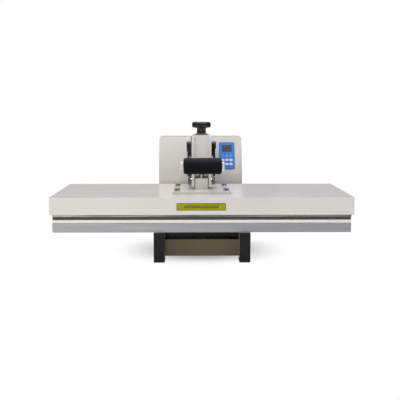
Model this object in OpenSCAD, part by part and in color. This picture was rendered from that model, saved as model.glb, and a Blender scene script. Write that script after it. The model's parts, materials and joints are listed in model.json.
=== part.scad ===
// Clamshell heat press with one wide platen, shown closed.
// +X is the operator's right, +Y runs to the back, +Z is up. The origin is on the
// floor, under the middle of the whole machine.

/* [Platens] */
// Width of the two platens
platen_w = 1000; // [960:10:1040]
// Depth of the two platens
platen_d = 400; // [390:5:405]
// Height of the lower platen casting
lower_platen_h = 32.5; // [28:0.5:36]
// Thickness of the silicone pad
pad_h = 10.5; // [8:0.5:12]
// Gap between the pad and the closed upper platen
press_gap = 0.5; // [0.3:0.1:1]
// Thickness of the coated pressing plate
press_plate_h = 9.5; // [8:0.5:10]
// Thickness of the cast heater plate
heater_plate_h = 8; // [7:0.5:9]

/* [Upper platen cover] */
// Width of the sheet steel cover
cover_w = 1015; // [980:5:1060]
// Depth of the sheet steel cover
cover_d = 420; // [412:1:424]
// Height of the sheet steel cover
cover_h = 58; // [56:0.5:60]
// Sheet thickness of the cover
cover_wall = 2; // [1.5:0.5:3]
// Width of the mounting plate on the cover
plate_w = 203; // [195:1:220]
// Depth of the mounting plate on the cover
plate_d = 190; // [180:1:195]
// Thickness of the mounting plate
plate_h = 10; // [8:0.5:11]
// Distance between mounting bolts, left to right
bolt_span_x = 170; // [160:1:175]
// Distance between mounting bolts, front to back
bolt_span_y = 154; // [140:1:158]

/* [Base] */
// Width over the two base rails
rails_w = 324; // [318:1:330]
// Width of one rail's rubber boot
boot_w = 36.5; // [35:0.5:40]
// Height from the floor to the top of the rails
rail_top = 101; // [98:1:104]

/* [Housing] */
// Width of the rear housing
housing_w = 326; // [322:1:334]
// Height of the housing's top above the floor
housing_top = 399; // [392:1:404]
// Front of the housing, behind the cover's front face
housing_front = 435; // [433:1:438]
// Back of the housing, behind the cover's front face
housing_back = 606; // [600:1:612]
// Height where the housing's front panel starts to lean back
bend_z = 250; // [246:1:254]
// Lean of the front panel from upright, in degrees
panel_lean = 25; // [24:0.5:26]

/* [Arm] */
// Arm hinge, behind the cover's front face
hinge_back = 525; // [524:1:526]
// Arm hinge, above the floor
hinge_z = 235; // [234:1:236]
// Width over the arm's side plates
arm_w = 69; // [68:0.5:69.5]
// Top of the arm's nose above the floor
arm_top = 420; // [416:1:422]
// Pressure screw, behind the cover's front face
screw_back = 185; // [182:1:188]

/* [Handle and links] */
// Handle pivot, behind the cover's front face
pivot_back = 230; // [228:1:232]
// Handle pivot, above the floor
pivot_z = 380; // [378:1:382]
// Fixed link anchor, behind the cover's front face
anchor_back = 495; // [494:1:496]
// Fixed link anchor, above the floor
anchor_z = 335; // [334:1:336]
// Distance from the handle pivot to the link pin
crank_r = 140; // [138:1:142]
// Middle of the foam grip, ahead of the cover's front face
grip_reach = 110; // [100:1:120]
// Middle of the foam grip, above the floor
grip_z = 334; // [330:1:338]
// Length of the foam grip
grip_l = 120; // [110:1:120]
// Diameter of the foam grip
grip_dia = 52; // [46:1:54]

/* [Pressure knob] */
// Diameter over the knob's lobes
knob_dia = 66; // [60:1:68]
// Number of lobes on the knob
knob_lobes = 6; // [5:1:8]
// Diameter of the pressure screw
screw_dia = 16; // [14:1:16]

/* [Controller] */
// Width of the controller's face
face_w = 59; // [58:0.5:62]
// Height of the controller's face along the panel
face_h = 110; // [106:1:112]
// Sideways place of the controller
face_x = 104; // [100:1:106]

/* [Hidden] */
$fn = 48;

enamel = [0.86, 0.85, 0.81];
charcoal = [0.15, 0.15, 0.16];
steel = [0.78, 0.79, 0.80];
aluminium = [0.68, 0.69, 0.70];
copper = [0.72, 0.45, 0.30];

slip = 0.05;
flank = 0.998;
overshoot = 1;
both_sides = [-1, 1];

// Heights of the stack, from the floor up
pad_z = rail_top + lower_platen_h;
press_z = pad_z + pad_h + press_gap;
heater_z = press_z + press_plate_h;
cover_z = heater_z + heater_plate_h;
cover_top = cover_z + cover_h;
plate_top = cover_top + plate_h;

// Places along the depth of the machine
fitting_proud = 6;
cover_front = -(housing_back + fitting_proud - grip_reach - grip_dia / 2) / 2;
platen_mid = cover_front + cover_d / 2;
screw_y = cover_front + screw_back;
pivot_y = cover_front + pivot_back;
hinge_y = cover_front + hinge_back;
anchor_y = cover_front + anchor_back;
grip_y = cover_front - grip_reach;
shell_front = cover_front + housing_front;
shell_back = cover_front + housing_back;

// Lower platen
lower_wall = 6;
lower_top = 8;
rib_t = 6;
pockets_x = 3;
pockets_y = 1;

// Rails and boots
boot_t = 8;
foot_l = 60;
foot_h = 9;
rail_w = boot_w - 2;
rail_wall = 2.5;
rail_x = (rails_w - boot_w) / 2;
rail_inner = rail_x - rail_w / 2;
cross_l = 30;
cross_h = 28;
tray_h = 57;
tray_z = 15;
tray_wall = 2;
tray_front = 40;
tray_back = 560;

// Housing
shell_wall = 2;
shell_corner = 8;
back_t = 2;
base_plate_h = 8;
slot_half = 45;
slot_top = 372;
top_slot_half = 38;
top_slot_back = cover_front + 562;
slot_bottom = 222;
// Cable gland's hole, low on the left side
gland_y = shell_back - 70;
gland_z = 180;
// Places of the fittings on the back panel: [x, z]
inlet_at = [110, 150];
fuse_at = [66, 150];
switch_at = [110, 200];
inlet_size = [28, 22];
switch_size = [22, 28];
panel_screw_in = 14;
panel_screw_z = [130, 370];
rocker_tilt = 8;
rocker_y = shell_back - 3;

// Uprights
upright_x = 42.5;
upright_t = 8;
upright_foot_w = 60;
anchor_r = 16;
anchor_pin_r = 6;
pin_r = 12;
upright_front = shell_front + 17;
upright_back = cover_front + 575;
foot_bolt_x = upright_x + 38;
foot_bolts_y = [upright_front + 20, upright_back - 20];
foot_bolt_r = 4;
upright_foot_h = 8;

// Arm
arm_half = arm_w / 2;
arm_t = 9;
arm_inner = arm_half - arm_t;
arm_bottom = 238;
arm_front = cover_front + 150;
arm_shoulder = 14;
arm_bend = 12;
hub_r = 38;
web_t = 8;
web_recess = 6;
front_web_z = 284;
spine_y = cover_front + 260;
spine_end = [cover_front + 470, 322];
lift = 6;
yoke_w = 45;
yoke_d = 60;
yoke_h = 38;
yoke_pin_r = 6;
yoke_pin_z = 256;

// Upper platen
bolt_r = 5;
press_inset = 1;
element_r = 4;
element_runs = 4;
element_pitch = 77;
element_half = 440;
label_w = 164;
label_h = 25;
label_z = 189;
cover_gland_x = -230;
cover_gland_z = 190;

// Handle
shaft_r = 10;
link_x = arm_half + 0.8;
link_t = 6.5;
cheek_x = link_x + link_t + 0.5;
cheek_t = 7.5;
cheek_r = 15;
leg_end = [pivot_y, 281];
doubler_end = [pivot_y, 356];
bar_x = cheek_x + cheek_t;
bar_t = 8;
bar_r = 14;
bar_rear = [pivot_y, 305];
bar_front = [grip_y, grip_z];
bar_spread = grip_l / 2 + 0.5;
joggle_start = 40;
joggle_end = 80;
rod_r = 8;
link_r = 17;
link_pin_r = 8;
pivot = [pivot_y, pivot_z];
anchor = [anchor_y, anchor_z];
link_pin = pivot + (anchor - pivot) * crank_r / norm(anchor - pivot);
bar_bolt_r = 4;
grip_round = 6;
bar_bolts = [[pivot_y, 305], [pivot_y - 28, 307.4]];

// Pressure screw and knob
screw_r = screw_dia / 2;
nut_z = 396;
nut_flange_h = 5;
neck_z = arm_top + nut_flange_h + 0.5;
neck_h = 20;
neck_r = 16.5;
star_h = 20;
lobe_r = 9;

// Controller, in the leaning panel's own directions
face_t = 3;
rim_l = 9;
rim_inset = 4.5;
case_l = 42;
display_w = 38;
display_h = 29;
display_up = 30;
button_w = 12;
button_h = 9;
button_gap_x = 16;
button_gap_y = 17;
button_up = -19;
button_l = 9;
face_up = (325.5 - bend_z) / cos(panel_lean);

// ---- Shared shapes ----

// Stands a [y, z] outline up and makes it this thick along +X, starting at x
module side_slab(x, thickness) {
    translate([x, 0, 0]) rotate([90, 0, 90]) linear_extrude(thickness) children();
}

// Flat shape with round ends between two points
module strap(a, b, r) {
    run = b - a;
    translate(a) circle(r);
    translate(b) circle(r);
    translate(a) rotate(atan2(run[1], run[0])) translate([0, -r * flank])
        square([norm(run), 2 * r * flank]);
}

// Rectangle about the origin with round corners
module rounded_rect(w, h, r) {
    square([w - 2 * r, h], center = true);
    square([w, h - 2 * r], center = true);
    for (x = both_sides, y = both_sides)
        translate([x * (w / 2 - r), y * (h / 2 - r)]) circle(r);
}

// Cylinder along +X from x, through a [y, z] point
module cross_pin(x, point, r, length) {
    translate([x, point[0], point[1]]) rotate([0, 90, 0]) cylinder(r = r, h = length);
}

// Hexagonal head along +X from x, through a [y, z] point
module cross_hex(x, point, across, length) {
    translate([x, point[0], point[1]]) rotate([0, 90, 0]) hexagon(across, length);
}

// Upright hexagonal prism, given its width across the flats
module hexagon(across, height) {
    cylinder(r = across / sqrt(3), h = height, $fn = 6);
}

// Block from one corner to the opposite one
module block(low, high) {
    translate(low) cube(high - low);
}

// Draws the children as they are, or mirrored onto the left side
module on_side(side) {
    if (side > 0) children();
    else mirror([1, 0, 0]) children();
}

// Moves the children onto the leaning panel: x across, y up the panel, z outwards
module on_panel(x, up) {
    translate([x, shell_front + up * sin(panel_lean), bend_z + up * cos(panel_lean)])
        rotate([90 - panel_lean, 0, 0]) children();
}

// ---- Base ----

module rail(side) {
    front = cover_front + boot_t;
    back = shell_back - boot_t;
    color(enamel) on_side(side) difference() {
        block([rail_x - rail_w / 2, front, foot_h], [rail_x + rail_w / 2, back, rail_top]);
        block([rail_x - rail_w / 2 + rail_wall, front - overshoot, foot_h + rail_wall],
              [rail_x + rail_w / 2 - rail_wall, back + overshoot, rail_top - rail_wall]);
    }
}
module left_rail() { rail(-1); }
module right_rail() { rail(1); }

// Rubber boot that closes a rail's end and reaches under it as a foot
module boot() {
    plug_half = rail_w / 2 - rail_wall - 0.1;
    block([-boot_w / 2, 0, 0], [boot_w / 2, boot_t, rail_top - 0.2]);
    block([-boot_w / 2, boot_t, 0], [boot_w / 2, foot_l, foot_h]);
    block([-plug_half, boot_t, foot_h + rail_wall + 0.1],
          [plug_half, boot_t + 20, rail_top - rail_wall - 0.1]);
}
module end_boots() {
    color(charcoal) for (side = both_sides) {
        translate([side * rail_x, cover_front, 0]) boot();
        translate([side * rail_x, shell_back, 0]) mirror([0, 1, 0]) boot();
    }
}

module cross_bars() {
    color(charcoal) for (back = [70, 330])
        block([-rail_inner, cover_front + back, rail_top - cross_h],
              [rail_inner, cover_front + back + cross_l, rail_top]);
}

module base_tray() {
    half = rail_inner;
    color(enamel) difference() {
        block([-half, cover_front + tray_front, tray_z],
              [half, cover_front + tray_back, tray_z + tray_h]);
        block([-half + tray_wall, cover_front + tray_front + tray_wall, tray_z + tray_wall],
              [half - tray_wall, cover_front + tray_back - tray_wall, rail_top]);
    }
}

module hinge_base() {
    half = housing_w / 2 - shell_wall - 0.2;
    color(charcoal) difference() {
        block([-half, shell_front + shell_wall + 0.2, rail_top],
              [half, shell_back - back_t - 0.2, rail_top + base_plate_h]);
        for (x = both_sides, y = foot_bolts_y)
            translate([x * foot_bolt_x, y, rail_top - overshoot])
                cylinder(r = foot_bolt_r + slip, h = base_plate_h + 2 * overshoot);
    }
}

module lower_platen() {
    pocket_w = (platen_w - 2 * lower_wall - (pockets_x - 1) * rib_t) / pockets_x;
    pocket_d = (platen_d - 2 * lower_wall - (pockets_y - 1) * rib_t) / pockets_y;
    color(aluminium) translate([-platen_w / 2, platen_mid - platen_d / 2, rail_top])
        difference() {
            cube([platen_w, platen_d, lower_platen_h]);
            for (i = [0 : pockets_x - 1], j = [0 : pockets_y - 1])
                translate([lower_wall + i * (pocket_w + rib_t),
                           lower_wall + j * (pocket_d + rib_t), -overshoot])
                    cube([pocket_w, pocket_d, lower_platen_h - lower_top + overshoot]);
        }
}

module silicone_pad() {
    color([0.92, 0.92, 0.90])
        block([-platen_w / 2, platen_mid - platen_d / 2, pad_z],
              [platen_w / 2, platen_mid + platen_d / 2, pad_z + pad_h]);
}

// ---- Hinge frame ----

module upright(side) {
    foot_z = rail_top + base_plate_h;
    color(enamel) on_side(side) difference() {
        union() {
            side_slab(upright_x, upright_t) {
                polygon([[upright_front, foot_z], [upright_front, bend_z + 8],
                         [anchor_y - anchor_r * cos(panel_lean), anchor_z - 4],
                         [anchor_y, anchor_z + anchor_r], [anchor_y + 12, anchor_z + 10.5],
                         [upright_back, bend_z + 20], [upright_back, foot_z]]);
                translate(anchor) circle(anchor_r);
            }
            block([upright_x, upright_front, foot_z],
                  [upright_x + upright_foot_w, upright_back, foot_z + upright_foot_h]);
        }
        cross_pin(upright_x - overshoot, [hinge_y, hinge_z], pin_r + slip,
                  upright_t + 2 * overshoot);
        cross_pin(upright_x - overshoot, anchor, anchor_pin_r + slip, upright_t + 2 * overshoot);
        for (y = foot_bolts_y)
            translate([foot_bolt_x, y, foot_z - overshoot])
                cylinder(r = foot_bolt_r + slip, h = upright_foot_h + 2 * overshoot);
    }
}
module left_upright() { upright(-1); }
module right_upright() { upright(1); }

module upright_bolts() {
    foot_z = rail_top + base_plate_h;
    color(steel) for (x = both_sides, y = foot_bolts_y)
        translate([x * foot_bolt_x, y, 0]) {
            translate([0, 0, rail_top]) cylinder(r = foot_bolt_r, h = base_plate_h + upright_foot_h);
            translate([0, 0, foot_z + upright_foot_h]) hexagon(13, 5.3);
        }
}

module hinge_pin() {
    half = upright_x + upright_t + 14;
    color(steel) cross_pin(-half, [hinge_y, hinge_z], pin_r, 2 * half);
}

module hinge_nuts() {
    color(steel) for (side = both_sides) on_side(side) difference() {
        cross_hex(upright_x + upright_t, [hinge_y, hinge_z], 36, 12);
        cross_pin(upright_x, [hinge_y, hinge_z], pin_r + slip, 30);
    }
}

module hinge_bushes() {
    start = arm_half + 0.3;
    color([0.72, 0.58, 0.32]) for (side = both_sides) on_side(side) difference() {
        cross_pin(start, [hinge_y, hinge_z], 20, upright_x - start);
        cross_pin(start - overshoot, [hinge_y, hinge_z], pin_r + slip, 30);
    }
}

module anchor_pins() {
    start = link_x + link_t + 0.2;
    color(steel) for (side = both_sides) on_side(side) {
        cross_pin(upright_x, anchor, anchor_pin_r, upright_t);
        cross_pin(start, anchor, 10, upright_x - start);
        cross_hex(upright_x + upright_t, anchor, 19, 8);
    }
}

// ---- Housing ----

// Side outline of the housing, drawn this far inside its outer faces
module housing_outline(inset) {
    lean = tan(panel_lean);
    front = shell_front + inset;
    top = housing_top - inset;
    slant = inset / cos(panel_lean) - inset;
    polygon([[front, rail_top], [front, bend_z],
             [front + slant + (top - bend_z) * lean, top],
             [shell_back - back_t, top], [shell_back - back_t, rail_top]]);
}

// Front outline of the housing with its two round shoulders, drawn this far inside
module housing_front_outline(inset) {
    half = housing_w / 2 - inset;
    corner = shell_corner - inset;
    translate([-half, rail_top]) square([2 * half, housing_top - shell_corner - rail_top]);
    translate([-half + corner, rail_top])
        square([2 * (half - corner), housing_top - inset - rail_top]);
    for (x = both_sides)
        translate([x * (half - corner), housing_top - shell_corner]) circle(corner);
}

// Solid housing, drawn this far inside its outer faces
module housing_solid(inset) {
    half = housing_w / 2 - inset;
    intersection() {
        side_slab(-half, 2 * half) housing_outline(inset);
        translate([0, shell_back, 0]) rotate([90, 0, 0]) linear_extrude(housing_back)
            housing_front_outline(inset);
    }
}

module housing_shell() {
    half = housing_w / 2 - shell_wall;
    color(enamel) difference() {
        housing_solid(0);
        housing_solid(shell_wall);
        block([-half, shell_back - 20, rail_top - overshoot],
              [half, shell_back + overshoot, housing_top - shell_corner]);
        block([-half, shell_front + shell_wall, rail_top - overshoot],
              [half, shell_back, rail_top + overshoot]);
        block([-slot_half, shell_front - overshoot, slot_bottom],
              [slot_half, shell_front + 90, slot_top]);
        block([-top_slot_half, shell_front - overshoot, slot_top - overshoot],
              [top_slot_half, top_slot_back, housing_top + overshoot]);
        on_panel(face_x, face_up)
            translate([-face_w / 2 + rim_inset - 0.3, -face_h / 2 + rim_inset - 0.3, -20])
                cube([face_w - 2 * rim_inset + 0.6, face_h - 2 * rim_inset + 0.6, 40]);
        cross_gland_hole();
    }
}

// Hole for the housing's cable gland, low on the left side
module cross_gland_hole() {
    cross_pin(-housing_w / 2 - overshoot, [gland_y, gland_z], 10.2, 5);
}

module housing_back_panel() {
    color(enamel) difference() {
        translate([0, shell_back, 0]) rotate([90, 0, 0]) linear_extrude(back_t)
            housing_front_outline(0);
        block([inlet_at[0] - inlet_size[0] / 2, shell_back - 10, inlet_at[1] - inlet_size[1] / 2],
              [inlet_at[0] + inlet_size[0] / 2, shell_back + 10, inlet_at[1] + inlet_size[1] / 2]);
        block([switch_at[0] - switch_size[0] / 2, shell_back - 10,
               switch_at[1] - switch_size[1] / 2],
              [switch_at[0] + switch_size[0] / 2, shell_back + 10,
               switch_at[1] + switch_size[1] / 2]);
        translate([fuse_at[0], shell_back + 10, fuse_at[1]]) rotate([90, 0, 0])
            cylinder(r = 6.2, h = 20);
        for (x = both_sides, z = panel_screw_z)
            translate([x * (housing_w / 2 - panel_screw_in), shell_back + 10, z]) rotate([90, 0, 0])
                cylinder(r = 2.2, h = 20);
        for (i = [-4 : 4])
            block([-30 + i * 14 - 3, shell_back - 10, 300], [-30 + i * 14 + 3, shell_back + 10, 350]);
    }
}

module housing_screws() {
    color(steel) for (x = both_sides, z = panel_screw_z)
        translate([x * (housing_w / 2 - panel_screw_in), shell_back, z]) rotate([90, 0, 0]) {
            cylinder(r = 2, h = 10);
            mirror([0, 0, 1]) cylinder(r = 4, h = 2.2);
        }
}

module power_inlet() {
    w = inlet_size[0] - 0.4;
    h = inlet_size[1] - 0.4;
    color(charcoal) translate([inlet_at[0], shell_back, inlet_at[1]]) rotate([90, 0, 0])
        difference() {
            union() {
                translate([0, 0, -2.5]) linear_extrude(2.5) rounded_rect(48, 27, 4);
                translate([-w / 2, -h / 2, 0]) cube([w, h, 24]);
            }
            difference() {
                translate([-12, -8, -3]) cube([24, 16, 20]);
                for (x = [-7, 0, 7])
                    translate([x - 1, (x == 0 ? 2 : -4), 3]) cube([2, 4, 20]);
            }
        }
}

module fuse_holder() {
    color(charcoal) translate([fuse_at[0], shell_back, fuse_at[1]]) rotate([90, 0, 0]) {
        cylinder(r = 6, h = 26);
        translate([0, 0, -fitting_proud]) cylinder(r = 8.5, h = fitting_proud);
    }
}

module switch_frame() {
    w = switch_size[0] - 0.4;
    h = switch_size[1] - 0.4;
    color(charcoal) translate([switch_at[0], shell_back, switch_at[1]]) rotate([90, 0, 0])
        difference() {
            union() {
                translate([0, 0, -2]) linear_extrude(2) rounded_rect(26, 32, 2);
                translate([-w / 2, -h / 2, 0]) cube([w, h, 20]);
            }
            translate([-w / 2 + 2, -h / 2 + 2, -3]) cube([w - 4, h - 4, 17]);
        }
}

// Rocker with two sloping faces, resting with its lower half pressed in
module power_rocker() {
    w = switch_size[0] - 5.4;
    color([0.55, 0.10, 0.08]) translate([0, rocker_y, switch_at[1]]) rotate([-rocker_tilt, 0, 0])
        side_slab(switch_at[0] - w / 2, w)
            polygon([[6.5, 10.2], [3.5, 0], [6.5, -10.2], [-4, -8], [-4, 8]]);
}

module solid_state_relay() {
    z = rail_top + base_plate_h;
    color(aluminium) for (i = [0 : 5])
        block([-152 + i * 8, shell_front + 30, z], [-149 + i * 8, shell_front + 110, z + 26]);
    color(aluminium) block([-152, shell_front + 30, z + 26], [-109, shell_front + 110, z + 31]);
    color(charcoal) block([-150, shell_front + 40, z + 31], [-111, shell_front + 98, z + 54]);
}

module gland_body() {
    difference() {
        union() {
            hexagon(24, 6);
            translate([0, 0, 6]) cylinder(r = 10, h = 8);
            translate([0, 0, 14]) cylinder(r1 = 10, r2 = 7, h = 6);
            translate([0, 0, -12]) cylinder(r = 9.8, h = 12);
        }
        translate([0, 0, -20]) cylinder(r = 4.5, h = 50);
    }
}
module housing_gland() {
    color(charcoal) translate([-housing_w / 2, gland_y, gland_z]) rotate([0, -90, 0]) gland_body();
}

// ---- Controller ----

module controller_face() {
    rim_w = face_w - 2 * rim_inset;
    rim_h = face_h - 2 * rim_inset;
    color([0.12, 0.55, 0.88]) on_panel(face_x, face_up) difference() {
        union() {
            linear_extrude(face_t) rounded_rect(face_w, face_h, 3);
            translate([-rim_w / 2, -rim_h / 2, -rim_l]) cube([rim_w, rim_h, rim_l]);
        }
        translate([-rim_w / 2 + 2, -rim_h / 2 + 2, -rim_l - overshoot])
            cube([rim_w - 4, rim_h - 4, rim_l + overshoot]);
        translate([-display_w / 2 - 0.1, display_up - display_h / 2 - 0.1, face_t - 1.8])
            cube([display_w + 0.2, display_h + 0.2, 5]);
        for (column = [-1 : 1], row = [0, 1])
            translate([column * button_gap_x - button_w / 2 - 0.3,
                       button_up - row * button_gap_y - button_h / 2 - 0.3, -overshoot])
                cube([button_w + 0.6, button_h + 0.6, 5]);
    }
}

module display_window() {
    color([0.05, 0.06, 0.08]) on_panel(face_x, face_up)
        translate([-display_w / 2, display_up - display_h / 2, face_t - 1.8])
            cube([display_w, display_h, 1.9]);
}

module controller_case() {
    rim_w = face_w - 2 * rim_inset;
    rim_h = face_h - 2 * rim_inset;
    color(charcoal) on_panel(face_x, face_up)
        translate([-rim_w / 2, -rim_h / 2, -rim_l - case_l]) cube([rim_w, rim_h, case_l]);
}

// Push button in one of three columns and two rows
module button(column, row) {
    color([0.93, 0.94, 0.95]) on_panel(face_x, face_up)
        translate([column * button_gap_x, button_up - row * button_gap_y, face_t + 1.2 - button_l]) {
            linear_extrude(button_l) rounded_rect(button_w, button_h, 2);
            translate([-button_w / 2 - 0.5, -button_h / 2 - 0.5, 0])
                cube([button_w + 1, button_h + 1, 2]);
        }
}
module button_1() { button(-1, 0); }
module button_2() { button(0, 0); }
module button_3() { button(1, 0); }
module button_4() { button(-1, 1); }
module button_5() { button(0, 1); }
module button_6() { button(1, 1); }

// ---- Arm ----

module arm_profile() {
    polygon([[arm_front, arm_bottom], [arm_front, arm_top - arm_shoulder],
             [arm_front + arm_shoulder, arm_top], [spine_y, arm_top], spine_end,
             [hinge_y + hub_r * 0.35, hinge_z + hub_r * 0.937],
             [hinge_y, hinge_z - hub_r], [hinge_y - 30, hinge_z - 27],
             [cover_front + 432, arm_bottom]]);
    translate([arm_front + arm_shoulder, arm_top - arm_shoulder]) circle(arm_shoulder);
    translate([hinge_y, hinge_z]) circle(hub_r);
}

// Removes the square corners along the arm's flat top, leaving a bend of arm_bend. The
// circle is a touch larger, so it meets the flat faces at an angle.
module bend_cutter() {
    for (side = both_sides) on_side(side) translate([arm_half - arm_bend, 0, arm_top - arm_bend])
        rotate([90, 0, 0]) linear_extrude(600, center = true) difference() {
            square(arm_bend + overshoot);
            circle(arm_bend + 0.1);
        }
}

module arm_body() {
    web_w = 2 * arm_inner;
    slope = atan2(spine_end[1] - arm_top, spine_end[0] - spine_y);
    color(enamel) difference() {
        union() {
            for (side = both_sides) on_side(side) side_slab(arm_inner, arm_t) arm_profile();
            side_slab(-arm_inner, web_w) {
                translate([arm_front + web_recess, front_web_z])
                    square([web_t, arm_top - front_web_z]);
                translate([arm_front + web_recess, arm_top - web_t])
                    square([spine_y - arm_front - web_recess, web_t]);
                translate([spine_y, arm_top]) rotate(slope) translate([0, -web_t])
                    square([norm(spine_end - [spine_y, arm_top]) - 9, web_t]);
            }
            cross_pin(-arm_inner, [hinge_y, hinge_z], 22, web_w);
            cross_pin(-arm_inner, pivot, 17, web_w);
        }
        cross_pin(-arm_w, [hinge_y, hinge_z], pin_r + slip, 2 * arm_w);
        cross_pin(-arm_w, pivot, shaft_r, 2 * arm_w);
        side_slab(-arm_w, 2 * arm_w)
            strap([screw_y, yoke_pin_z], [screw_y, yoke_pin_z + lift], yoke_pin_r + 0.3);
        translate([0, screw_y, arm_top - 20]) cylinder(r = 14, h = 40);
        bend_cutter();
    }
}

module pressure_nut() {
    color(steel) difference() {
        union() {
            translate([0, screw_y, arm_top]) hexagon(36, nut_flange_h);
            translate([0, screw_y, nut_z]) cylinder(r = 14, h = arm_top - nut_z);
        }
        translate([0, screw_y, nut_z - overshoot])
            cylinder(r = screw_r + slip, h = arm_top - nut_z + 10);
    }
}

module handle_shaft() {
    half = cheek_x + cheek_t + 0.3;
    color(charcoal) {
        cross_pin(-half, pivot, shaft_r, 2 * half);
        for (side = both_sides) on_side(side) cross_pin(half, pivot, 13, 3);
    }
}

// ---- Upper platen ----

module yoke() {
    color(enamel) difference() {
        block([-yoke_w / 2, screw_y - yoke_d / 2, plate_top],
              [yoke_w / 2, screw_y + yoke_d / 2, plate_top + yoke_h]);
        cross_pin(-yoke_w, [screw_y, yoke_pin_z], yoke_pin_r, 2 * yoke_w);
        translate([0, screw_y, yoke_pin_z + yoke_pin_r])
            cylinder(r = screw_r + 0.1, h = yoke_h);
    }
}

module yoke_pin() {
    head_x = arm_half + 0.5;
    color(steel) {
        cross_pin(-head_x, [screw_y, yoke_pin_z], yoke_pin_r, 2 * head_x);
        for (side = both_sides) on_side(side) {
            cross_pin(head_x, [screw_y, yoke_pin_z], 12, 2);
            cross_hex(head_x + 2, [screw_y, yoke_pin_z], 22, 10.5);
        }
    }
}

// Repeats the children at the four mounting bolts
module at_mount_bolts() {
    for (x = both_sides, y = both_sides)
        translate([x * bolt_span_x / 2, screw_y + y * bolt_span_y / 2, 0]) children();
}

module mounting_plate() {
    color(enamel) difference() {
        translate([0, screw_y, cover_top]) linear_extrude(plate_h)
            rounded_rect(plate_w, plate_d, 6);
        at_mount_bolts() translate([0, 0, cover_top - overshoot])
            cylinder(r = bolt_r + 0.3, h = plate_h + 2 * overshoot);
    }
}

module mount_bolts() {
    color(steel) at_mount_bolts() {
        translate([0, 0, cover_z - 4]) cylinder(r = bolt_r, h = plate_top - cover_z + 4);
        translate([0, 0, plate_top]) cylinder(r = 10.5, h = 2);
        translate([0, 0, plate_top + 2]) hexagon(17, 7);
    }
}

module platen_spacers() {
    color(steel) at_mount_bolts() translate([0, 0, cover_z]) difference() {
        cylinder(r = 9, h = cover_h - cover_wall);
        translate([0, 0, -overshoot]) cylinder(r = bolt_r + 0.3, h = cover_h);
    }
}

module platen_cover() {
    color(enamel) difference() {
        translate([0, platen_mid, cover_z]) linear_extrude(cover_h)
            rounded_rect(cover_w, cover_d, 5);
        translate([0, platen_mid, cover_z - overshoot])
            linear_extrude(cover_h - cover_wall + overshoot)
                rounded_rect(cover_w - 2 * cover_wall, cover_d - 2 * cover_wall, 3);
        at_mount_bolts() translate([0, 0, cover_z])
            cylinder(r = bolt_r + 0.3, h = cover_h + overshoot);
        translate([cover_gland_x, cover_front + cover_d + overshoot, cover_gland_z])
            rotate([90, 0, 0]) cylinder(r = 10, h = 5);
    }
}

module heater_plate() {
    color(aluminium) difference() {
        block([-platen_w / 2, platen_mid - platen_d / 2, heater_z],
              [platen_w / 2, platen_mid + platen_d / 2, cover_z]);
        at_mount_bolts() translate([0, 0, cover_z - 4])
            cylinder(r = bolt_r, h = 10);
    }
}

module press_plate() {
    color(charcoal)
        block([-platen_w / 2 + press_inset, platen_mid - platen_d / 2 + press_inset, press_z],
              [platen_w / 2 - press_inset, platen_mid + platen_d / 2 - press_inset, heater_z]);
}

// Tubular element: straight runs joined by half turns
module heating_element() {
    color(copper) translate([0, platen_mid, cover_z + element_r]) {
        for (i = [0 : element_runs - 1])
            translate([-element_half, (i - (element_runs - 1) / 2) * element_pitch, 0])
                rotate([0, 90, 0]) cylinder(r = element_r, h = 2 * element_half);
        for (i = [0 : element_runs - 2])
            translate([(i % 2 == 0 ? 1 : -1) * element_half,
                       (i - (element_runs - 2) / 2) * element_pitch, 0])
                rotate(i % 2 == 0 ? -90 : 90) rotate_extrude(angle = 180)
                    translate([element_pitch / 2, 0]) circle(element_r);
    }
}

module insulation() {
    color([0.90, 0.88, 0.80]) difference() {
        block([-490, platen_mid - 195, cover_z + 2 * element_r + 1],
              [490, platen_mid + 195, cover_z + 42]);
        at_mount_bolts() translate([0, 0, cover_z]) cylinder(r = 9.5, h = 60);
    }
}

module blank_label() {
    color([0.72, 0.70, 0.08])
        block([-label_w / 2 - 3, cover_front - 0.4, label_z - label_h / 2],
              [label_w / 2 - 3, cover_front, label_z + label_h / 2]);
}

module cover_gland() {
    color(charcoal) translate([cover_gland_x, cover_front + cover_d, cover_gland_z])
        rotate([-90, 0, 0]) gland_body();
}

// ---- Knob ----

module star_knob() {
    color(charcoal) translate([0, screw_y, neck_z]) difference() {
        union() {
            cylinder(r = neck_r, h = neck_h + overshoot);
            translate([0, 0, neck_h]) linear_extrude(star_h) {
                circle(knob_dia / 2 - lobe_r + 1);
                for (i = [0 : knob_lobes - 1]) rotate(i * 360 / knob_lobes)
                    translate([knob_dia / 2 - lobe_r, 0]) circle(lobe_r);
            }
        }
        translate([0, 0, -overshoot]) cylinder(r = screw_r, h = neck_h + 12);
    }
}

module pressure_screw() {
    bottom = yoke_pin_z + yoke_pin_r + 0.4;
    color(steel) translate([0, screw_y, bottom])
        cylinder(r = screw_r, h = neck_z + neck_h + 11 - bottom);
}

// ---- Handle ----

module cheek(side) {
    color(charcoal) on_side(side) difference() {
        union() {
            side_slab(cheek_x, cheek_t) {
                strap(pivot, link_pin, cheek_r);
                strap(pivot, leg_end, bar_r);
            }
            side_slab(link_x, cheek_x - link_x + overshoot) strap(pivot, doubler_end, cheek_r - 1);
        }
        cross_pin(0, pivot, shaft_r + slip, 80);
        cross_pin(0, link_pin, link_pin_r, 80);
        cross_pin(0, bar_bolts[0], bar_bolt_r, 80);
    }
}
module left_cheek() { cheek(-1); }
module right_cheek() { cheek(1); }

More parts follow.
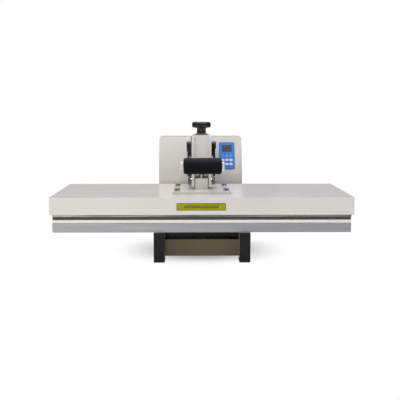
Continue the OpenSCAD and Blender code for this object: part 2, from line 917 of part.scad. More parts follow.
module bar(side) {
    spread = bar_spread - bar_x;
    inner = [[0, 20], [0, -joggle_start], [spread, -joggle_end], [spread, -400]];
    outer = [for (i = [3 : -1 : 0]) inner[i] + [bar_t, 0]];
    color(enamel) on_side(side) difference() {
        intersection() {
            side_slab(bar_x - 5, spread + bar_t + 10) strap(bar_rear, bar_front, bar_r);
            translate([bar_x, pivot_y, 200]) linear_extrude(220) polygon(concat(inner, outer));
        }
        for (point = bar_bolts) cross_pin(0, point, bar_bolt_r, 80);
        cross_pin(0, bar_front, rod_r, 90);
    }
}
module left_bar() { bar(-1); }
module right_bar() { bar(1); }

module handle_bolts() {
    color(steel) for (side = both_sides) on_side(side) {
        cross_pin(cheek_x, bar_bolts[0], bar_bolt_r, bar_x + bar_t - cheek_x);
        cross_pin(bar_x, bar_bolts[1], bar_bolt_r, bar_t);
        for (point = bar_bolts) cross_pin(bar_x + bar_t, point, 7, 4);
    }
}

module link_pins() {
    color(steel) for (side = both_sides) on_side(side) {
        cross_pin(link_x, link_pin, link_pin_r, cheek_x + cheek_t - link_x);
        cross_pin(cheek_x + cheek_t, link_pin, 12, 4);
    }
}

module grip_rod() {
    half = bar_spread + bar_t;
    color(steel) cross_pin(-half, bar_front, rod_r, 2 * half);
}

module foam_grip() {
    color([0.10, 0.10, 0.11]) translate([0, grip_y, grip_z]) rotate([0, 90, 0])
        rotate_extrude() intersection() {
            translate([0, -grip_l / 2]) translate([rod_r, 0]) square([grip_dia, grip_l]);
            rounded_rect(grip_dia, grip_l, grip_round);
        }
}

module link(side) {
    color(charcoal) on_side(side) difference() {
        side_slab(link_x, link_t) strap(link_pin, anchor, link_r);
        cross_pin(0, link_pin, link_pin_r + slip, 80);
        cross_pin(0, anchor, 5, 80);
    }
}
module left_link() { link(-1); }
module right_link() { link(1); }

left_rail();
right_rail();
end_boots();
cross_bars();
base_tray();
hinge_base();
lower_platen();
silicone_pad();
left_upright();
right_upright();
upright_bolts();
hinge_pin();
hinge_nuts();
hinge_bushes();
anchor_pins();
housing_shell();
housing_back_panel();
housing_screws();
controller_face();
display_window();
controller_case();
solid_state_relay();
power_inlet();
fuse_holder();
switch_frame();
housing_gland();
power_rocker();
button_1();
button_2();
button_3();
button_4();
button_5();
button_6();
arm_body();
pressure_nut();
handle_shaft();
yoke();
yoke_pin();
mounting_plate();
mount_bolts();
platen_spacers();
platen_cover();
heater_plate();
press_plate();
heating_element();
insulation();
blank_label();
cover_gland();
star_knob();
pressure_screw();
left_cheek();
right_cheek();
left_bar();
right_bar();
handle_bolts();
link_pins();
grip_rod();
foam_grip();
left_link();
right_link();
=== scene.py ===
"""Looks for the clamshell heat press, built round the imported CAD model."""

import json
import math

import bmesh
import bpy
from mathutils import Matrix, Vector


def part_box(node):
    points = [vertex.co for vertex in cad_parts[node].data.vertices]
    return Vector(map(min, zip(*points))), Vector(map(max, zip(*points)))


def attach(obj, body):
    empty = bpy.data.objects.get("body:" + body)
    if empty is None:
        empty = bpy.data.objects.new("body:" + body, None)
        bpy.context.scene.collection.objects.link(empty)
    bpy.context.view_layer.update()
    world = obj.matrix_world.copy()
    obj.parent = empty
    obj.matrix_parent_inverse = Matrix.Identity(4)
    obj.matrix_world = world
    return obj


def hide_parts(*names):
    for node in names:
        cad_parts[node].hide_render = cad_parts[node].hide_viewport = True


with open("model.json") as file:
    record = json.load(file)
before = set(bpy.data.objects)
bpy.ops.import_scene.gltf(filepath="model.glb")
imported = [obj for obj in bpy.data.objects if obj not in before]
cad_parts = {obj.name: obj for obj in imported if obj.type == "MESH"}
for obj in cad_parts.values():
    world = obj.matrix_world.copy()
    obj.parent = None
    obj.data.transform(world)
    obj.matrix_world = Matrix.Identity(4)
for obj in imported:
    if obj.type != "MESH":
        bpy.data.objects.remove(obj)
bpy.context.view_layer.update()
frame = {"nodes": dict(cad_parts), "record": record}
NODES = frame["nodes"]
MM = 0.001


# ---- Places taken from the frame ----

def corners(node):
    """Lowest and highest corner of a CAD node, as vectors."""
    low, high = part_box(node)
    return Vector(low), Vector(high)


def middle(node):
    """Middle of a CAD node's box."""
    low, high = corners(node)
    return (low + high) / 2


COVER_FRONT = corners("platen_cover")[0].y

# The controller's panel: how far it leans back, its face's height over its width, and how far
# the display's middle lies above the face's middle, in mm
PANEL_LEAN = math.radians(25)
FACE_RATIO = 110 / 59
DISPLAY_RISE = 30


# ---- Camera and light ----

CAMERA_BACK = 2.335
CAMERA_HEIGHT = 0.524
CAMERA_SIDE = -0.033
CAMERA_PITCH = math.radians(7.61)
CAMERA_YAW = math.radians(-0.636)
SENSOR = 36.0
FOCAL_WIDTHS = 1.7773

# Floor: its own glow, where it fades to white (metres from the middle), and its drop below zero
FLOOR_GLOW = 0.28
FLOOR_FADE = (0.08, 0.34)
FLOOR_REACH = 40
FLOOR_DROP = 0.3 * MM
FLOOR_GREY = (0.9, 0.9, 0.9, 1)
MIRRORED_GREY = (0.10, 0.10, 0.10, 1)

# Skies: colours by the height of the direction that is looked in
SKY_STRENGTH = 0.55
SOFT_SKY = [(0.0, (0.30, 0.30, 0.32)), (0.75, (1.0, 1.0, 1.03))]
BANDED_SKY = [(0.0, (0.05, 0.05, 0.055)), (0.14, (0.07, 0.07, 0.08)), (0.30, (0.40, 0.39, 0.44)),
              (0.55, (0.78, 0.76, 0.90)), (1.0, (0.50, 0.49, 0.58))]


def set_stops(ramp, stops):
    """Gives a colour ramp node these (position, colour) stops."""
    elements = ramp.color_ramp.elements
    elements[0].position, elements[0].color = stops[0][0], (*stops[0][1], 1)
    elements[1].position, elements[1].color = stops[-1][0], (*stops[-1][1], 1)
    for position, colour in stops[1:-1]:
        elements.new(position).color = (*colour, 1)


def add_camera():
    """Camera that sees the closed press from the front, a little from above."""
    data = bpy.data.cameras.new("camera")
    data.sensor_width = SENSOR
    data.lens = SENSOR * FOCAL_WIDTHS
    data.clip_end = 100
    camera = bpy.data.objects.new("camera", data)
    camera.location = (CAMERA_SIDE, COVER_FRONT - CAMERA_BACK, CAMERA_HEIGHT)
    camera.rotation_euler = (math.pi / 2 - CAMERA_PITCH, 0, CAMERA_YAW)
    bpy.context.collection.objects.link(camera)
    bpy.context.scene.camera = camera


def add_light(name, place, aim, size, power, colour=(1, 1, 1)):
    """Square area light at place, turned towards aim."""
    data = bpy.data.lights.new(name, "AREA")
    data.shape = "SQUARE"
    data.size = size
    data.energy = power
    data.color = colour
    light = bpy.data.objects.new(name, data)
    light.location = place
    light.rotation_euler = (Vector(aim) - Vector(place)).to_track_quat("-Z", "Y").to_euler()
    bpy.context.collection.objects.link(light)


def add_floor():
    """Pale floor that fades to white, looks darker in reflections and is clear from below."""
    mesh = bpy.data.meshes.new("floor")
    edges = ((-1, -1), (1, -1), (1, 1), (-1, 1))
    mesh.from_pydata([(FLOOR_REACH * x, FLOOR_REACH * y, 0) for x, y in edges], [], [(0, 1, 2, 3)])
    floor = bpy.data.objects.new("floor", mesh)
    bpy.context.collection.objects.link(floor)
    finish = bpy.data.materials.new("pale_floor")
    finish.use_nodes = True
    tree = finish.node_tree
    shader = tree.nodes["Principled BSDF"]
    shader.inputs["Roughness"].default_value = 0.9
    shader.inputs["Specular IOR Level"].default_value = 0.1
    shader.inputs["Emission Color"].default_value = (1, 1, 1, 1)
    shader.inputs["Emission Strength"].default_value = FLOOR_GLOW
    place = tree.nodes.new("ShaderNodeTexCoord")
    distance = tree.nodes.new("ShaderNodeVectorMath")
    distance.operation = "LENGTH"
    tree.links.new(place.outputs["Object"], distance.inputs[0])
    fade = tree.nodes.new("ShaderNodeMapRange")
    fade.interpolation_type = "SMOOTHSTEP"
    fade.inputs["From Min"].default_value = FLOOR_FADE[0]
    fade.inputs["From Max"].default_value = FLOOR_FADE[1]
    tree.links.new(distance.outputs["Value"], fade.inputs["Value"])
    path = tree.nodes.new("ShaderNodeLightPath")
    mirrored = tree.nodes.new("ShaderNodeMix")
    mirrored.data_type = "RGBA"
    mirrored.inputs["A"].default_value = FLOOR_GREY
    mirrored.inputs["B"].default_value = MIRRORED_GREY
    tree.links.new(path.outputs["Is Glossy Ray"], mirrored.inputs["Factor"])
    tree.links.new(mirrored.outputs["Result"], shader.inputs["Base Color"])
    seen = tree.nodes.new("ShaderNodeMath")
    seen.operation = "MULTIPLY"
    tree.links.new(fade.outputs["Result"], seen.inputs[0])
    tree.links.new(path.outputs["Is Camera Ray"], seen.inputs[1])
    white = tree.nodes.new("ShaderNodeEmission")
    mix = tree.nodes.new("ShaderNodeMixShader")
    tree.links.new(seen.outputs["Value"], mix.inputs["Fac"])
    tree.links.new(shader.outputs["BSDF"], mix.inputs[1])
    tree.links.new(white.outputs["Emission"], mix.inputs[2])
    side = tree.nodes.new("ShaderNodeNewGeometry")
    clear = tree.nodes.new("ShaderNodeBsdfTransparent")
    one_sided = tree.nodes.new("ShaderNodeMixShader")
    tree.links.new(side.outputs["Backfacing"], one_sided.inputs["Fac"])
    tree.links.new(mix.outputs["Shader"], one_sided.inputs[1])
    tree.links.new(clear.outputs["BSDF"], one_sided.inputs[2])
    tree.links.new(one_sided.outputs["Shader"], tree.nodes["Material Output"].inputs["Surface"])
    floor.data.materials.append(finish)
    floor.location.z = -FLOOR_DROP


def sky_shader(tree, height, stops, strength):
    """Background whose brightness follows the direction's height through these stops."""
    sky = tree.nodes.new("ShaderNodeBackground")
    sky.inputs["Strength"].default_value = strength
    shade = tree.nodes.new("ShaderNodeValToRGB")
    set_stops(shade, stops)
    tree.links.new(height, shade.inputs["Fac"])
    tree.links.new(shade.outputs["Color"], sky.inputs["Color"])
    return sky.outputs["Background"]


def add_world():
    """White backdrop for the eye, a soft sky for light, and a banded one for reflections."""
    world = bpy.data.worlds.new("studio")
    world.use_nodes = True
    tree = world.node_tree
    backdrop = tree.nodes["Background"]
    backdrop.inputs["Color"].default_value = (1, 1, 1, 1)
    place = tree.nodes.new("ShaderNodeTexCoord")
    height = tree.nodes.new("ShaderNodeSeparateXYZ")
    tree.links.new(place.outputs["Generated"], height.inputs["Vector"])
    soft = sky_shader(tree, height.outputs["Z"], SOFT_SKY, SKY_STRENGTH)
    banded = sky_shader(tree, height.outputs["Z"], BANDED_SKY, 1.0)
    path = tree.nodes.new("ShaderNodeLightPath")
    reflected = tree.nodes.new("ShaderNodeMixShader")
    tree.links.new(path.outputs["Is Glossy Ray"], reflected.inputs["Fac"])
    tree.links.new(soft, reflected.inputs[1])
    tree.links.new(banded, reflected.inputs[2])
    mix = tree.nodes.new("ShaderNodeMixShader")
    tree.links.new(path.outputs["Is Camera Ray"], mix.inputs["Fac"])
    tree.links.new(reflected.outputs["Shader"], mix.inputs[1])
    tree.links.new(backdrop.outputs["Background"], mix.inputs[2])
    tree.links.new(mix.outputs["Shader"], tree.nodes["World Output"].inputs["Surface"])
    bpy.context.scene.world = world


def add_stage():
    """Floor, world and four lamps round the object."""
    bpy.context.scene.view_settings.view_transform = "Standard"
    add_floor()
    add_world()
    add_light("key", (-2.8, -2.0, 2.2), (0, 0, 0.2), 1.6, 27, (1.0, 0.965, 0.905))
    add_light("front", (-0.8, -3.6, 0.36), (0, 0, 0.25), 0.8, 12.5, (1.0, 0.975, 0.935))
    add_light("fill", (2.6, -2.2, 1.6), (0, 0, 0.2), 1.2, 4, (0.97, 0.98, 1.0))
    add_light("top", (0.2, 0.3, 3.0), (0, 0, 0.2), 2.2, 68, (0.94, 0.92, 1.0))


# ---- Materials ----

class Finish:
    """A Principled material with helpers for its procedural detail."""

    def __init__(self, name, colour, roughness, metallic=0.0, **sockets):
        self.material = bpy.data.materials.new(name)
        self.material.use_nodes = True
        self.tree = self.material.node_tree
        self.shader = self.tree.nodes["Principled BSDF"]
        self.colour = colour
        self.shader.inputs["Base Color"].default_value = (*colour, 1)
        self.shader.inputs["Roughness"].default_value = roughness
        self.shader.inputs["Metallic"].default_value = metallic
        for key, value in sockets.items():
            self.shader.inputs[key.replace("_", " ")].default_value = value
        self.coordinates = self.add("ShaderNodeTexCoord").outputs["Object"]
        self.normal = None

    def add(self, kind, **settings):
        """New shader node with these settings."""
        node = self.tree.nodes.new(kind)
        for key, value in settings.items():
            setattr(node, key, value)
        return node

    def link(self, start, end):
        """Joins an output socket to an input socket."""
        self.tree.links.new(start, end)

    def stretched(self, scale):
        """Object coordinates scaled differently along each axis."""
        mapping = self.add("ShaderNodeMapping")
        mapping.inputs["Scale"].default_value = scale
        self.link(self.coordinates, mapping.inputs["Vector"])
        return mapping.outputs["Vector"]

    def noise(self, scale, detail=4.0, stretch=(1, 1, 1)):
        """Noise with this many features a metre."""
        node = self.add("ShaderNodeTexNoise")
        node.inputs["Scale"].default_value = scale
        node.inputs["Detail"].default_value = detail
        self.link(self.stretched(stretch), node.inputs["Vector"])
        return node.outputs["Fac"]

    def ramp(self, factor, stops):
        """Colour ramp through (position, colour) stops."""
        node = self.add("ShaderNodeValToRGB")
        set_stops(node, stops)
        self.link(factor, node.inputs["Fac"])
        return node.outputs["Color"]

    def vary_colour(self, factor, spread):
        """Shades the base colour up and down by spread as factor runs across its middle."""
        dark = tuple(c * (1 - spread) for c in self.colour)
        light = tuple(min(1, c * (1 + spread)) for c in self.colour)
        self.link(self.ramp(factor, [(0.3, dark), (0.7, light)]), self.shader.inputs["Base Color"])

    def vary_roughness(self, factor, low, high):
        """Runs the roughness from low to high as factor runs across its middle."""
        node = self.add("ShaderNodeMapRange")
        node.inputs["From Min"].default_value = 0.3
        node.inputs["From Max"].default_value = 0.7
        node.inputs["To Min"].default_value = low
        node.inputs["To Max"].default_value = high
        self.link(factor, node.inputs["Value"])
        self.link(node.outputs["Result"], self.shader.inputs["Roughness"])

    def bump(self, height, strength, distance):
        """Adds a bump layer over the layers that are already there."""
        node = self.add("ShaderNodeBump")
        node.inputs["Strength"].default_value = strength
        node.inputs["Distance"].default_value = distance
        self.link(height, node.inputs["Height"])
        if self.normal:
            self.link(self.normal, node.inputs["Normal"])
        self.normal = node.outputs["Normal"]
        self.link(self.normal, self.shader.inputs["Normal"])


def enamel():
    finish = Finish("enamel", (0.69, 0.672, 0.625), 0.3, Coat_Weight=0.3, Coat_Roughness=0.1)
    finish.vary_colour(finish.noise(5, 3), 0.018)
    finish.vary_roughness(finish.noise(6, 2), 0.28, 0.33)
    finish.bump(finish.noise(60, 1), 0.004, 0.0003)
    return finish.material


def shadow_enamel():
    finish = Finish("shadow_enamel", (0.13, 0.098, 0.058), 0.4, Specular_IOR_Level=0.25)
    finish.vary_colour(finish.noise(9, 4), 0.06)
    finish.vary_roughness(finish.noise(30, 5), 0.34, 0.46)
    finish.bump(finish.noise(900, 2), 0.08, 0.0002)
    return finish.material


def black_coat():
    finish = Finish("black_coat", (0.007, 0.007, 0.008), 0.22, Specular_IOR_Level=0.4)
    finish.vary_colour(finish.noise(60, 5), 0.25)
    finish.vary_roughness(finish.noise(120, 4), 0.2, 0.34)
    finish.bump(finish.noise(1400, 2), 0.1, 0.0002)
    return finish.material


def zinc_steel():
    finish = Finish("zinc_steel", (0.62, 0.62, 0.60), 0.3, 1.0)
    finish.vary_colour(finish.noise(90, 6), 0.1)
    finish.vary_roughness(finish.noise(200, 5, (1, 6, 6)), 0.22, 0.4)
    finish.bump(finish.noise(700, 3), 0.1, 0.0002)
    return finish.material


def bright_chrome():
    """Chrome with painted reflections: its base colour runs from near black to bright by the way its
    surface faces.
    """
    finish = Finish("bright_chrome", (0.86, 0.87, 0.89), 0.1, 1.0)
    painted_reflection = finish.add("ShaderNodeTexNoise")
    painted_reflection.inputs["Scale"].default_value = 2.2
    painted_reflection.inputs["Detail"].default_value = 1.0
    finish.link(finish.add("ShaderNodeTexCoord").outputs["Normal"], painted_reflection.inputs["Vector"])
    # Painted reflection: near black, grey and bright stops picked by surface direction
    finish.link(finish.ramp(painted_reflection.outputs["Fac"], [(0.42, (0.06, 0.05, 0.045)),
                                                    (0.50, (0.26, 0.25, 0.24)),
                                                    (0.60, (0.88, 0.89, 0.91))]),
                finish.shader.inputs["Base Color"])
    finish.vary_roughness(finish.noise(150, 4), 0.06, 0.18)
    finish.bump(finish.noise(400, 2), 0.03, 0.0002)
    return finish.material


def bearing_bronze():
    finish = Finish("bearing_bronze", (0.45, 0.30, 0.14), 0.45, 1.0)
    finish.vary_colour(finish.noise(300, 5), 0.15)
    finish.bump(finish.noise(900, 3), 0.15, 0.0002)
    return finish.material


def cast_aluminium():
    finish = Finish("cast_aluminium", (0.47, 0.465, 0.475), 0.42, 0.6)
    finish.vary_colour(finish.noise(160, 6, (0.03, 1, 1)), 0.10)
    finish.vary_roughness(finish.noise(260, 5, (0.03, 1, 1)), 0.34, 0.5)
    finish.bump(finish.noise(700, 5, (0.05, 1, 1)), 0.25, 0.0003)
    finish.bump(finish.noise(40, 3), 0.06, 0.001)
    return finish.material


def coated_plate():
    finish = Finish("coated_plate", (0.055, 0.054, 0.052), 0.5)
    finish.vary_colour(finish.noise(80, 5), 0.25)
    finish.bump(finish.noise(600, 3), 0.2, 0.0003)
    return finish.material


# Painted shade: a darker copy of the cast aluminium for the heater plate, standing in for the shade in
# its recess between cover and pad; light and dark streaks run along the plate
def heater_alloy_painted_shade():
    finish = Finish("heater_alloy_painted_shade", (0.36, 0.345, 0.34), 0.34, 0.85)
    finish.vary_colour(finish.noise(130, 6, (0.05, 1, 1)), 0.6)
    finish.vary_roughness(finish.noise(90, 5, (0.1, 1, 1)), 0.22, 0.5)
    finish.bump(finish.noise(300, 5, (0.1, 1, 1)), 0.25, 0.0004)
    return finish.material


def heater_sheath():
    finish = Finish("heater_sheath", (0.35, 0.25, 0.19), 0.4, 1.0)
    finish.vary_colour(finish.noise(60, 5), 0.3)
    return finish.material


def white_silicone():
    finish = Finish("white_silicone", (0.84, 0.81, 0.765), 0.6, Subsurface_Weight=0.1)
    finish.vary_colour(finish.noise(70, 5), 0.03)
    finish.bump(finish.noise(900, 3), 0.25, 0.0003)
    finish.bump(finish.noise(60, 3), 0.2, 0.0008)
    return finish.material


def glass_wool():
    finish = Finish("glass_wool", (0.80, 0.76, 0.62), 0.95)
    finish.vary_colour(finish.noise(120, 8, (0.2, 1, 1)), 0.15)
    finish.bump(finish.noise(500, 6, (0.2, 1, 1)), 0.6, 0.002)
    return finish.material


def black_rubber():
    finish = Finish("black_rubber", (0.013, 0.0135, 0.014), 0.55, Specular_IOR_Level=0.2)
    finish.vary_colour(finish.noise(70, 5), 0.2)
    finish.bump(finish.noise(900, 4), 0.25, 0.0004)
    return finish.material


def black_foam():
    finish = Finish("black_foam", (0.0035, 0.0035, 0.005), 0.6, Specular_IOR_Level=0.16)
    cells = finish.add("ShaderNodeTexVoronoi")
    cells.inputs["Scale"].default_value = 900
    finish.link(finish.coordinates, cells.inputs["Vector"])
    finish.vary_colour(finish.noise(45, 5), 0.25)
    finish.bump(cells.outputs["Distance"], 0.35, 0.0006)
    finish.bump(finish.noise(60, 3), 0.15, 0.0015)
    return finish.material


def black_plastic():
    finish = Finish("black_plastic", (0.003, 0.003, 0.004), 0.1, Specular_IOR_Level=0.75)
    finish.vary_roughness(finish.noise(80, 4), 0.06, 0.13)
    finish.bump(finish.noise(500, 2), 0.05, 0.0003)
    return finish.material


def dark_plastic():
    finish = Finish("dark_plastic", (0.03, 0.03, 0.032), 0.5)
    finish.vary_colour(finish.noise(90, 4), 0.2)
    finish.bump(finish.noise(1300, 3), 0.25, 0.0003)
    return finish.material


def blue_plastic():
    finish = Finish("blue_plastic", (0.03, 0.24, 0.70), 0.28)
    finish.vary_colour(finish.noise(40, 3), 0.04)
    finish.bump(finish.noise(1500, 2), 0.08, 0.0002)
    return finish.material


def dark_window():
    finish = Finish("dark_window", (0.055, 0.052, 0.060), 0.07, Coat_Weight=0.5)
    finish.vary_roughness(finish.noise(60, 3), 0.05, 0.1)
    return finish.material


def white_plastic():
    finish = Finish("white_plastic", (0.80, 0.83, 0.86), 0.35)
    finish.vary_colour(finish.noise(90, 3), 0.02)
    finish.bump(finish.noise(1200, 2), 0.1, 0.0002)
    return finish.material


def red_plastic():
    finish = Finish("red_plastic", (0.45, 0.02, 0.015), 0.25, Transmission_Weight=0.1)
    finish.vary_colour(finish.noise(90, 3), 0.05)
    finish.bump(finish.noise(900, 2), 0.06, 0.0002)
    return finish.material


def yellow_film():
    finish = Finish("yellow_film", (0.33, 0.325, 0.0005), 0.5, Specular_IOR_Level=0.12)
    finish.vary_colour(finish.noise(60, 4), 0.06)
    finish.bump(finish.noise(90, 3), 0.06, 0.0004)
    return finish.material


def ink(name, colour):
    """Printed ink for plain marks."""
    finish = Finish(name, colour, 0.5)
    finish.vary_colour(finish.noise(400, 3), 0.08)
    return finish.material


MATERIALS = {make.__name__: make() for make in (
    enamel, shadow_enamel, black_coat, zinc_steel, bright_chrome, bearing_bronze,
    cast_aluminium, heater_alloy_painted_shade, coated_plate, heater_sheath, white_silicone, glass_wool,
    black_rubber, black_foam, black_plastic, dark_plastic, blue_plastic, dark_window,
    white_plastic, red_plastic, yellow_film)}
DARK_INK = ink("dark_ink", (0.03, 0.03, 0.03))
PURPLE_INK = ink("purple_ink", (0.32, 0.10, 0.42))
WHITE_INK = ink("white_ink", (0.80, 0.83, 0.86))


# ---- CAD nodes: finish and edge rounding ----

# Nodes that look different from the material in their record: the heater plate's darker alloy is painted
# shade for its recess between cover and pad
LOOKS = {"heater_plate": "heater_alloy_painted_shade"}

# Width of the rounded edges, in mm
EDGE_ROUNDING = {
    "platen_cover": 2.2, "housing_shell": 2.2, "housing_back_panel": 0.6, "arm_body": 1.6,
    "mounting_plate": 1.4, "yoke": 1.4, "left_cheek": 1.0, "right_cheek": 1.0, "left_link": 0.8,
    "right_link": 0.8, "left_bar": 1.0, "right_bar": 1.0, "lower_platen": 1.6,
    "heater_plate": 0.9, "press_plate": 1.2, "silicone_pad": 1.8, "end_boots": 2.0,
    "left_rail": 1.2, "right_rail": 1.2, "cross_bars": 1.2, "base_tray": 0.6,
    "controller_face": 0.7, "mount_bolts": 0.5, "yoke_pin": 0.6, "handle_shaft": 0.7,
    "handle_bolts": 0.6, "link_pins": 0.7, "pressure_nut": 0.8, "left_upright": 0.8,
    "right_upright": 0.8, "hinge_base": 0.8, "hinge_pin": 1.0, "hinge_nuts": 0.8,
    "anchor_pins": 0.6, "grip_rod": 1.0, "power_inlet": 0.6, "fuse_holder": 0.8,
    "switch_frame": 0.6, "power_rocker": 0.5, "housing_gland": 0.6, "cover_gland": 0.6,
    "display_window": 0.3, "blank_label": 0.1, "controller_case": 0.8, "solid_state_relay": 0.5,
    "housing_screws": 0.4, "upright_bolts": 0.5, "pressure_screw": 0.8,
}
EDGE_ROUNDING.update({f"button_{i}": 0.5 for i in range(1, 7)})


def round_edges(thing, width):
    """Joins split corners, clears flat triangles and rounds the sharp edges by width in mm."""
    weld = thing.modifiers.new("weld", "WELD")
    weld.merge_threshold = 0.01 * MM
    clean = thing.modifiers.new("clean", "DECIMATE")
    clean.decimate_type = "DISSOLVE"
    clean.angle_limit = math.radians(0.6)
    bevel = thing.modifiers.new("bevel", "BEVEL")
    bevel.width = width * MM
    bevel.segments = 3
    bevel.limit_method = "ANGLE"
    bevel.angle_limit = math.radians(32)
    bevel.use_clamp_overlap = True
    bevel.harden_normals = False
    normals = thing.modifiers.new("normals", "WEIGHTED_NORMAL")
    normals.keep_sharp = False


def dress_cad_nodes():
    """Gives every CAD node its finish, smooth shading and, where listed, rounded edges."""
    slots = {row["node"]: row["material_slot"] for row in frame["record"]["subparts"]}
    slots.update(LOOKS)
    for name, thing in NODES.items():
        thing.data.materials.clear()
        thing.data.materials.append(MATERIALS[slots[name]])
        for polygon in thing.data.polygons:
            polygon.use_smooth = True
        if name in EDGE_ROUNDING:
            round_edges(thing, EDGE_ROUNDING[name])


# ---- Pieces ----

INK_LIFT = 0.12 * MM
SUNK = 0.05 * MM
BUTTON_COLUMNS = (-16, 0, 16)


def new_piece(name, mesh_builder, material, body):
    """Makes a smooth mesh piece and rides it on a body."""
    mesh = bpy.data.meshes.new(name)
    builder = bmesh.new()
    mesh_builder(builder)
    bmesh.ops.recalc_face_normals(builder, faces=builder.faces)
    builder.to_mesh(mesh)
    builder.free()
    piece = bpy.data.objects.new(name, mesh)
    bpy.context.collection.objects.link(piece)
    mesh.materials.append(material)
    for polygon in mesh.polygons:
        polygon.use_smooth = True
    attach(piece, body)
    return piece


def loft(builder, rings, closed_ends=True):
    """Skins a list of rings, each a list of points, into one closed form."""
    loops = [[builder.verts.new(point) for point in ring] for ring in rings]
    count = len(loops[0])
    for lower, upper in zip(loops, loops[1:]):
        for i in range(count):
            j = (i + 1) % count
            builder.faces.new((lower[i], lower[j], upper[j], upper[i]))
    if closed_ends:
        builder.faces.new(loops[0][::-1])
        builder.faces.new(loops[-1])


def circle_points(radius, count, height, centre):
    """Points round a vertical axis; radius may be a function of the angle."""
    points = []
    for i in range(count):
        angle = 2 * math.pi * i / count
        r = radius(angle) if callable(radius) else radius
        points.append(centre + Vector((r * math.cos(angle), r * math.sin(angle), height)))
    return points


def rounded_outline(width, height, corner, steps):
    """Points round a rectangle with round corners, with this many steps in each corner."""
    points = []
    for quarter, (sx, sy) in enumerate(((1, 1), (-1, 1), (-1, -1), (1, -1))):
        for i in range(steps + 1):
            turn = math.pi / 2 * (quarter + i / steps)
            points.append((sx * (width / 2 - corner) + corner * math.cos(turn),
                           sy * (height / 2 - corner) + corner * math.sin(turn)))
    return points


def star_knob():
    """Six-lobed knob with a domed head, soft lobes and a stepped neck."""
    low, high = corners("star_knob")
    centre = Vector(((low.x + high.x) / 2, (low.y + high.y) / 2, low.z))
    height = high.z - low.z
    neck_radius = 16.5 * MM
    neck_top = 20 * MM
    reach = (high.x - low.x) / 2
    lobes = 6
    count = 120

    def lobed(scale, depth):
        """Radius by angle: a wave this deep inside this share of the reach."""
        def radius(angle):
            wave = math.cos(lobes * angle)
            return reach * scale * (1 - depth * (1 - wave) / 2)
        return radius

    profile = [
        (lambda a: neck_radius * 0.93, 0.0), (lambda a: neck_radius, 1.2 * MM),
        (lambda a: neck_radius * 0.97, neck_top * 0.45), (lambda a: neck_radius, neck_top - 3 * MM),
        (lobed(0.70, 0.10), neck_top - 0.5 * MM), (lobed(0.90, 0.20), neck_top),
        (lobed(0.97, 0.23), neck_top + 1.5 * MM), (lobed(1.0, 0.24), neck_top + 4 * MM),
        (lobed(1.0, 0.24), height - 6 * MM), (lobed(0.97, 0.23), height - 3.2 * MM),
        (lobed(0.89, 0.20), height - 1.2 * MM), (lobed(0.76, 0.12), height - 0.3 * MM),
        (lambda a: reach * 0.52, height - 0.6 * MM), (lambda a: reach * 0.48, height - 1.4 * MM),
        (lambda a: reach * 0.2, height - 1.4 * MM),
    ]

    def build(builder):
        loft(builder, [circle_points(radius, count, z, centre) for radius, z in profile])

    piece = new_piece("star_knob_head", build, MATERIALS["black_plastic"], "knob")
    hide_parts("star_knob")


def foam_grip():
    """Foam sleeve with soft rolled ends and a faint waist where hands press it."""
    low, high = corners("foam_grip")
    centre = (low + high) / 2
    length = high.x - low.x
    radius = (high.z - low.z) / 2
    bore = 8.2 * MM
    roll = 7 * MM
    waist = 0.35 * MM
    count = 72
    steps = 28
    roll_steps = 8
    end = [(-length / 2 + 1.5 * MM, bore)]
    for i in reversed(range(roll_steps + 1)):
        turn = math.pi / 2 * i / roll_steps
        end.append((-length / 2 + roll * (1 - math.sin(turn)), radius - roll * (1 - math.cos(turn))))
    profile = list(end)
    for i in range(1, steps):
        x = -length / 2 + roll + (length - 2 * roll) * i / steps
        wave = waist * math.cos(2 * math.pi * x / length) ** 2 - waist
        profile.append((x, radius + wave))
    profile += [(-x, r) for x, r in reversed(end)]

    def build(builder):
        rings = []
        for x, r in profile:
            rings.append([centre + Vector((x, r * math.cos(2 * math.pi * i / count),
                                           r * math.sin(2 * math.pi * i / count)))
                          for i in range(count)])
        loft(builder, rings)

    piece = new_piece("foam_sleeve", build, MATERIALS["black_foam"], "handle")
    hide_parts("foam_grip")


def flat_mark(builder, centre, across, up, width, height, lift):
    """Thin rounded tile with its back on the surface: across and up are unit directions."""
    normal = across.cross(up)
    outline = rounded_outline(width, height, min(width, height) * 0.25, 3)
    rings = [[centre + across * x + up * y + normal * z for x, y in outline]
             for z in (-SUNK, lift)]
    loft(builder, rings)


def panel_frame():
    """Point on the display's middle, level with the face, and the panel's own directions."""
    across = Vector((1, 0, 0))
    up = Vector((0, math.sin(PANEL_LEAN), math.cos(PANEL_LEAN)))
    out = across.cross(up)
    display = middle("display_window") + out * MM
    display.x = middle("controller_face").x
    return display, across, up, out


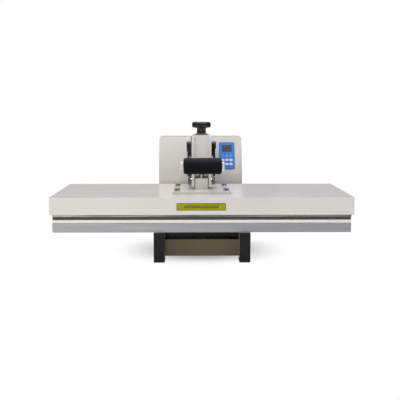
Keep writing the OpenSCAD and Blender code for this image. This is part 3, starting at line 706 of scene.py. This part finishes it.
def controller_marks():
    """Plain printed bars by the display and under the buttons, with no words."""
    display, across, up, out = panel_frame()
    face = display - out * SUNK

    def at(x, y):
        return face + across * (x * MM) + up * (y * MM)

    def purple(builder):
        for y in (-21.5, -38):
            flat_mark(builder, at(0, y), across, up, 40 * MM, 1.6 * MM, INK_LIFT)
        for x in BUTTON_COLUMNS:
            flat_mark(builder, at(x, -75), across, up, 9 * MM, 1.2 * MM, INK_LIFT)

    def white(builder):
        for x in BUTTON_COLUMNS:
            flat_mark(builder, at(x, -28.5), across, up, 7 * MM, 1.2 * MM, INK_LIFT)
            flat_mark(builder, at(x, -33), across, up, 5 * MM, 1.0 * MM, INK_LIFT)

    new_piece("face_marks_purple", purple, PURPLE_INK, "base")
    new_piece("face_marks_white", white, WHITE_INK, "base")


def controller_shade_rim():
    """Black rim round the blue face: painted shade, a dark edge put where the face's edges lie in shade.
    """
    low, high = corners("controller_face")
    display, across, up, out = panel_frame()
    width = high.x - low.x
    height = width * FACE_RATIO
    centre = display - up * (DISPLAY_RISE * MM) - out * (0.1 * MM)
    rim = 1.1 * MM
    depth = 2.8 * MM
    gap = 0.05 * MM
    lip = 0.4 * MM

    def outline(grow, level):
        """Ring this far outside the face and this far above it."""
        flat = rounded_outline(width + 2 * grow, height + 2 * grow, 3 * MM + grow, 5)
        return [centre + across * x + up * y + out * level for x, y in flat]

    def build(builder):
        levels = [outline(gap, -depth), outline(rim, -depth), outline(rim, -0.9 * MM),
                  outline(rim * 0.6, -lip), outline(gap, -lip)]
        loft(builder, levels + [levels[0]], closed_ends=False)
        bmesh.ops.remove_doubles(builder, verts=builder.verts, dist=0.005 * MM)

    # Painted shade: black plastic rim that darkens the edges of the blue face
    new_piece("controller_shade_rim", build, MATERIALS["black_plastic"], "base")


def label_marks():
    """Dark outline and slanted bars on the plain yellow label."""
    low, high = corners("blank_label")
    centre = Vector(((low.x + high.x) / 2, low.y, (low.z + high.z) / 2))
    width = high.x - low.x
    height = high.z - low.z
    across = Vector((1, 0, 0))
    up = Vector((0, 0, 1))
    border = 1.3 * MM
    inset = 1.6 * MM

    def build(builder):
        for sign in (-1, 1):
            flat_mark(builder, centre + up * sign * (height / 2 - inset), across, up,
                      width - 2 * inset, border, INK_LIFT)
            flat_mark(builder, centre + across * sign * (width / 2 - inset), across, up,
                      border, height - 2 * inset, INK_LIFT)
        slant = math.radians(35)
        leaning = up * math.cos(slant) + across * math.sin(slant)
        level = across * math.cos(slant) - up * math.sin(slant)
        pitch = 9 * MM
        for i in range(-6, 7):
            flat_mark(builder, centre + across * (i * pitch), level, leaning, 3.4 * MM, 12 * MM, INK_LIFT)

    new_piece("label_marks", build, DARK_INK, "upper_platen")


add_camera()
add_stage()
dress_cad_nodes()
star_knob()
foam_grip()
controller_shade_rim()
controller_marks()
label_marks()
